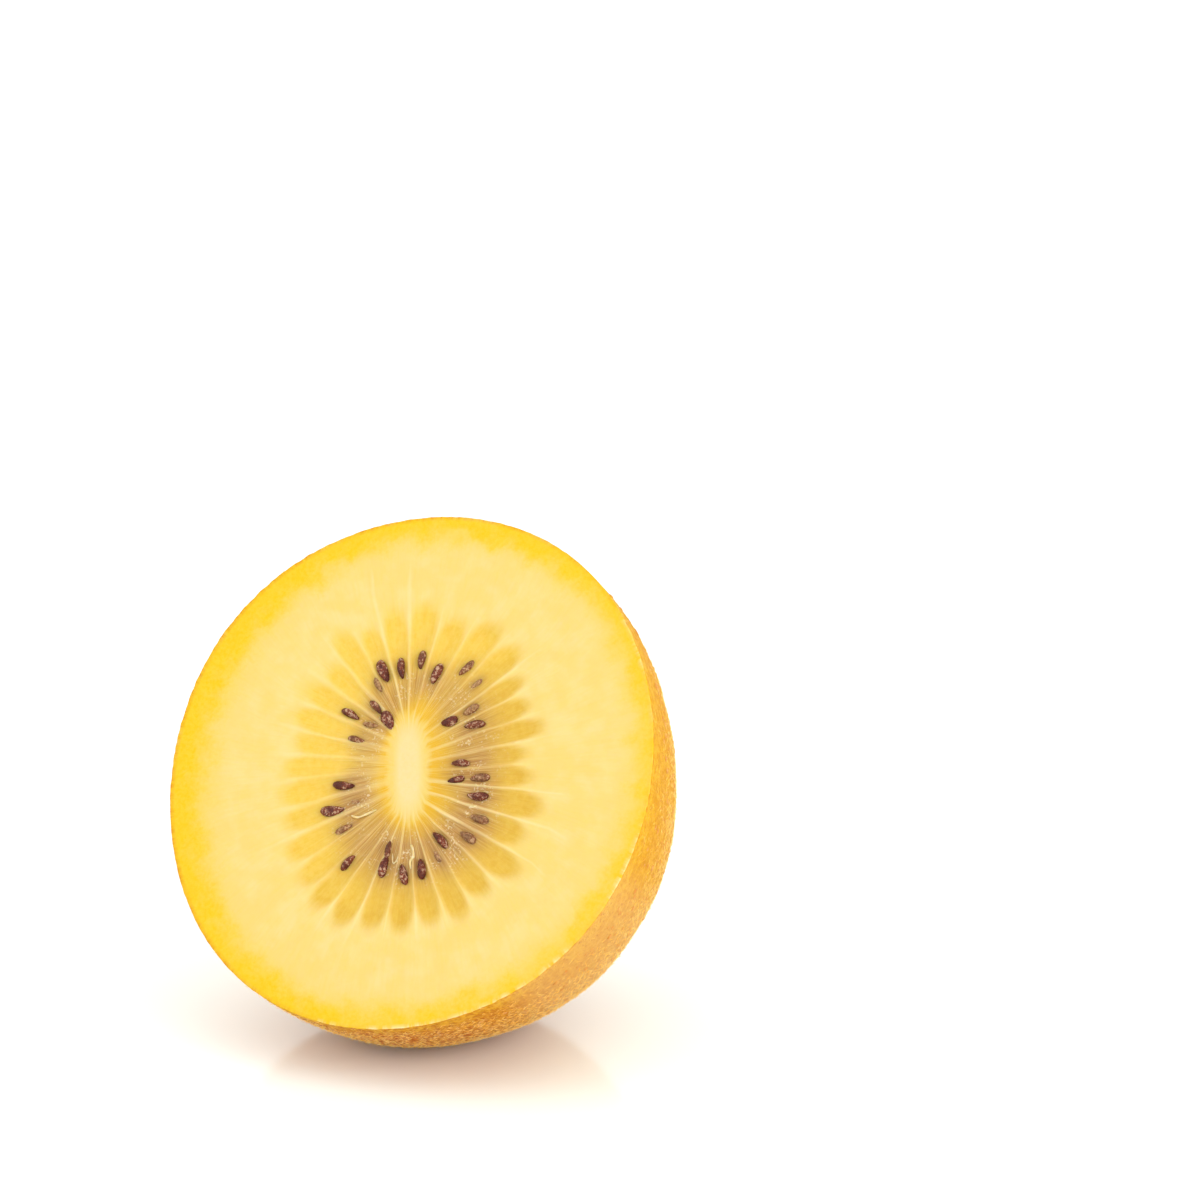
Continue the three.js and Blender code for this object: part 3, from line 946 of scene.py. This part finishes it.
def thread_material():
    n = Nodes("kiwi_thread")
    tone = n.noise(n.place(), 2400, 3, 0.6)
    base = n.mix(n.ramp(tone, 0.35, 0.65), colour(253, 230, 180), colour(250, 216, 144))
    return n.finish(base, roughness=0.4, specular=0.2, relief=(tone, 0.5, 0.0001),
                    soft=(0.5, (1.0, 0.6, 0.25), 0.0005))


# Hairs and raised dots on the skin

HAIRS = 44000
HAIR_LENGTH = 0.6
HAIR_WIDTH = 0.055
HAIR_ROOT = 0.03  # how deep in the skin a hair starts
HAIR_LIFT = (3, 32)  # degrees between a hair and the skin
HAIR_SPREAD = 0.42  # radians, of the ways that neighbouring hairs run
DOTS = 2400
DOT_RADIUS = 0.215
DOT_ROOT = 0.1
# The rings of a dot: how far out and how high, in its own radii, and the height of its top
DOT_RINGS = [(1.0, -0.08), (0.72, 0.16), (0.36, 0.26)]
DOT_TOP = 0.29
DOT_SIDES = 9
FLOOR_GAP = 0.00003  # metres between the floor and the lowest hair or dot
GOLDEN_ANGLE = math.pi * (3 - math.sqrt(5))


def rise_at(share):
    """How far round from the cut a share of the skin's area reaches."""
    rises = np.linspace(0, math.pi / 2, 400)
    angle = around(48)
    rings = np.array([skin_point(angle, rise) for rise in rises])
    girth = np.linalg.norm(np.roll(rings, -1, axis=1) - rings, axis=2).sum(axis=1)
    step = np.linalg.norm(np.diff(rings, axis=0), axis=2).mean(axis=1)
    area = np.concatenate([[0], np.cumsum((girth[1:] + girth[:-1]) / 2 * step)])
    return np.interp(share, area / area[-1], rises)


def skin_frames(angle, rise):
    """Points on the skin and two directions along it and one out of it at each."""
    points, out, scar = skin_surface(angle, rise)
    side = np.column_stack([out[:, 1], -out[:, 0], np.zeros(len(out))])
    side /= np.maximum(np.linalg.norm(side, axis=1), 1e-6)[:, None]
    return points, side, np.cross(out, side), out, scar


def off_the_floor(points):
    """Whether points of the fruit's frame lie clear of the flat that it rests on."""
    return placed(points)[:, 2] > FLOOR_GAP


def hair_shapes():
    """Short fine hairs: three-sided slivers, rooted in the skin and mostly lying down."""
    rng = np.random.default_rng(5)
    rise = rise_at(rng.uniform(0, 1, HAIRS))
    angle = rng.uniform(0, TURN, HAIRS)
    points, side, down, out, scar = skin_frames(angle, rise)
    lit_side = lit_side_share(angle, rise)
    # By the cut is a strip of nearly bare skin, wider on the upper right side that has painted light
    strip = 0.04 + 0.15 * lit_side + 0.03 * noise(points * 0.3, 92)
    dense = (0.06 + 0.94 * smoothstep(strip * 0.3, strip * 1.8, rise)) * (1 - 0.35 * lit_side)
    dense *= 1 - 0.45 * smoothstep(0.45, 1.0, rise)
    keep = off_the_floor(points) & (rng.uniform(0, 1, HAIRS) < dense) & (scar < 0.5)
    points, side, down, out = points[keep], side[keep], down[keep], out[keep]
    count = len(points)
    heading = 0.85 * fractal(points * 0.35, 91)[:, None] + rng.normal(0, HAIR_SPREAD, (count, 1))
    heading += math.pi * (rng.uniform(0, 1, (count, 1)) < 0.5)
    lift = np.radians(rng.uniform(*HAIR_LIFT, (count, 1)))
    flat = side * np.cos(heading) + down * np.sin(heading)
    along = flat * np.cos(lift) + out * np.sin(lift)
    across = np.cross(along, out)
    across /= np.linalg.norm(across, axis=1)[:, None]
    over = np.cross(across, along)
    length = HAIR_LENGTH * rng.uniform(0.45, 1.25, (count, 1))
    width = HAIR_WIDTH * rng.uniform(0.7, 1.2, (count, 1))
    root = points - HAIR_ROOT * out
    return np.stack([
        root - across * width / 2,
        root + across * width / 2,
        root + over * width * 0.7,
        root + along * length,
    ], 1)


HAIR_FACES = [[0, 1, 2], [1, 0, 3], [2, 1, 3], [0, 2, 3]]


def dot_shapes():
    """Low round dots spread evenly over the skin."""
    rng = np.random.default_rng(8)
    number = np.arange(DOTS)
    angle = number * GOLDEN_ANGLE + rng.normal(0, 0.02, DOTS)
    rise = rise_at((number + 0.5 + rng.normal(0, 6, DOTS)).clip(0, DOTS) / DOTS)
    points, side, down, out, scar = skin_frames(angle, rise)
    size = DOT_RADIUS * rng.lognormal(0, 0.3, DOTS).clip(0.5, 1.8)
    keep = off_the_floor(points - out * DOT_ROOT) & (rise > 0.08) & (scar < 0.1)
    shapes = []
    turns = around(DOT_SIDES)
    for k in np.nonzero(keep)[0]:
        where = np.column_stack([np.sin(turns), np.cos(turns), turns * 0 + k])
        uneven = 1 + 0.16 * noise(where * 1.3, 93)
        plan = np.cos(turns)[:, None] * side[k] + np.sin(turns)[:, None] * down[k] * 0.85
        rings = [points[k] - out[k] * DOT_ROOT]
        for reach, height in DOT_RINGS:
            spread = plan * (size[k] * reach * uneven)[:, None]
            rings.append(points[k] + spread + out[k] * height * size[k])
        rings.append(points[k] + out[k] * DOT_TOP * size[k])
        shapes.append(np.vstack(rings))
    return shapes


def dot_faces():
    faces = []
    for k in range(DOT_SIDES):
        nxt = (k + 1) % DOT_SIDES
        faces.append([0, 1 + k, 1 + nxt])
        for row in range(len(DOT_RINGS) - 1):
            low, high = 1 + row * DOT_SIDES, 1 + (row + 1) * DOT_SIDES
            faces.append([low + nxt, low + k, high + k, high + nxt])
        last = 1 + (len(DOT_RINGS) - 1) * DOT_SIDES
        faces.append([last + nxt, last + k, last + DOT_SIDES])
    return faces


def hair_material():
    n = Nodes("kiwi_hair")
    tone = n.noise(n.place(), 2300, 2, 0.6)
    # Brighter than colour() can say, because light shines through the hairs
    base = n.mix(n.ramp(tone, 0.35, 0.68), (1.0, 0.64, 0.14, 1), (0.95, 0.43, 0.035, 1))
    return n.finish(base, roughness=0.5, specular=0.08, soft=(0.6, (1.0, 0.6, 0.3), 0.0004))


def dot_material():
    n = Nodes("kiwi_dot")
    place = n.place()
    tone = n.noise(place, 700, 3, 0.6)
    crumbs = n.noise(place, 4200, 3, 0.65)
    base = n.mix(n.ramp(tone, 0.35, 0.7), colour(250, 180, 92), colour(236, 150, 68))
    base = n.mix(n.ramp(crumbs, 0.45, 0.7, 0, 0.6), base, colour(255, 206, 130))
    return n.finish(base, roughness=0.7, specular=0.08, relief=(crumbs, 0.6, 0.0001))


# The pieces

fruit = fruit_surface().build("kiwi_fruit", [flesh_material(), skin_material()])
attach(fruit, "root")
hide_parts("kiwi_half")

seed_shapes = [seed_shape(k, seed) for k, seed in enumerate(SEEDS)]
seeds = many("kiwi_seeds", seed_shapes, seed_faces(), seed_material())
veils = [SEED_VEIL * smoothstep(0.15, 0.5, depth) for *_, depth in SEEDS]
add_attribute(seeds, "veil", np.repeat(veils, len(seed_shapes[0])))
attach(seeds, "root")

thread_shapes = [thread_shape(k, *thread) for k, thread in enumerate(THREADS)]
threads = many("kiwi_threads", thread_shapes, thread_faces(), thread_material())
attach(threads, "root")

hairs = many("kiwi_hairs", hair_shapes(), HAIR_FACES, hair_material(), smooth=False)
dots = many("kiwi_dots", dot_shapes(), dot_faces(), dot_material())
for piece in (hairs, dots):
    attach(piece, "root")


# The stage

CAMERA_TURN = 23.2  # degrees to the right of the front
CAMERA_RISE = 16  # degrees above the horizon
CAMERA_DISTANCE = 500
CAMERA_FOCAL_PX = 5060
SENSOR_WIDTH = 36
FACE_CENTRE_PX = (408.4, 768.9)
PHOTO_SIDE_PX = 1200
FLOOR_HALF_SIDE = 4.0  # metres
FLOOR_COLOUR = (0.93, 0.99, 0.97, 1)
WORLD_COLOUR = (1, 0.985, 0.95, 1)
WORLD_STRENGTH = 1.2
LIGHT_TARGET = (0, 0, 0.02)
# Each light: its name, its place and width in metres, its watts and its tint
LIGHTS = [
    ("top", (-0.4, -0.5, 0.9), 1.7, 1.3, (0.98, 1.0, 1.04)),
    ("left", (-0.75, -0.5, 0.3), 0.8, 2.4, (1, 1, 1)),
    ("side", (0.8, -0.35, 0.3), 0.8, 5.4, (1, 1, 1)),
]


def add_camera():
    data = bpy.data.cameras.new("camera")
    data.sensor_width = SENSOR_WIDTH
    data.lens = CAMERA_FOCAL_PX / PHOTO_SIDE_PX * SENSOR_WIDTH
    data.clip_start = 0.01
    camera = add_object("camera", data)
    turn, up = math.radians(CAMERA_TURN), math.radians(CAMERA_RISE)
    back = Vector((math.sin(turn) * math.cos(up), -math.cos(turn) * math.cos(up), math.sin(up)))
    right = Vector((math.cos(turn), math.sin(turn), 0))
    over = back.cross(right)
    # Turned until the middle of the cut face falls where the photograph has it
    aside = math.atan((PHOTO_SIDE_PX / 2 - FACE_CENTRE_PX[0]) / CAMERA_FOCAL_PX)
    above = math.atan((FACE_CENTRE_PX[1] - PHOTO_SIDE_PX / 2) / CAMERA_FOCAL_PX)
    look = Matrix((right, over, back)).transposed().to_4x4()
    look = look @ Matrix.Rotation(-aside, 4, "Y") @ Matrix.Rotation(above, 4, "X")
    place = (Vector(FACE_CENTRE) + back * CAMERA_DISTANCE) * MM
    camera.matrix_world = Matrix.Translation(place) @ look
    bpy.context.scene.camera = camera


def add_light(name, place, width, watts, tint):
    data = bpy.data.lights.new(name, "AREA")
    data.shape = "DISK"
    data.size = width
    data.energy = watts
    data.color = tint
    light = add_object(name, data)
    light.location = place
    light.rotation_euler = (Vector(LIGHT_TARGET) - light.location).to_track_quat("-Z", "Y").to_euler()


def add_floor():
    material = Nodes("floor").finish(FLOOR_COLOUR, roughness=0.13, specular=0.5)
    mesh = bpy.data.meshes.new("floor")
    side = FLOOR_HALF_SIDE
    mesh.from_pydata([(-side, -side, 0), (side, -side, 0), (side, side, 0), (-side, side, 0)],
                     [], [(0, 1, 2, 3)])
    mesh.materials.append(material)
    add_object("floor", mesh)


def add_world():
    world = bpy.data.worlds.new("world")
    world.use_nodes = True
    shade = world.node_tree.nodes["Background"]
    shade.inputs["Color"].default_value = WORLD_COLOUR
    shade.inputs["Strength"].default_value = WORLD_STRENGTH
    bpy.context.scene.world = world


add_camera()
add_floor()
add_world()
for light in LIGHTS:
    add_light(*light)
bpy.context.scene.view_settings.view_transform = "Standard"
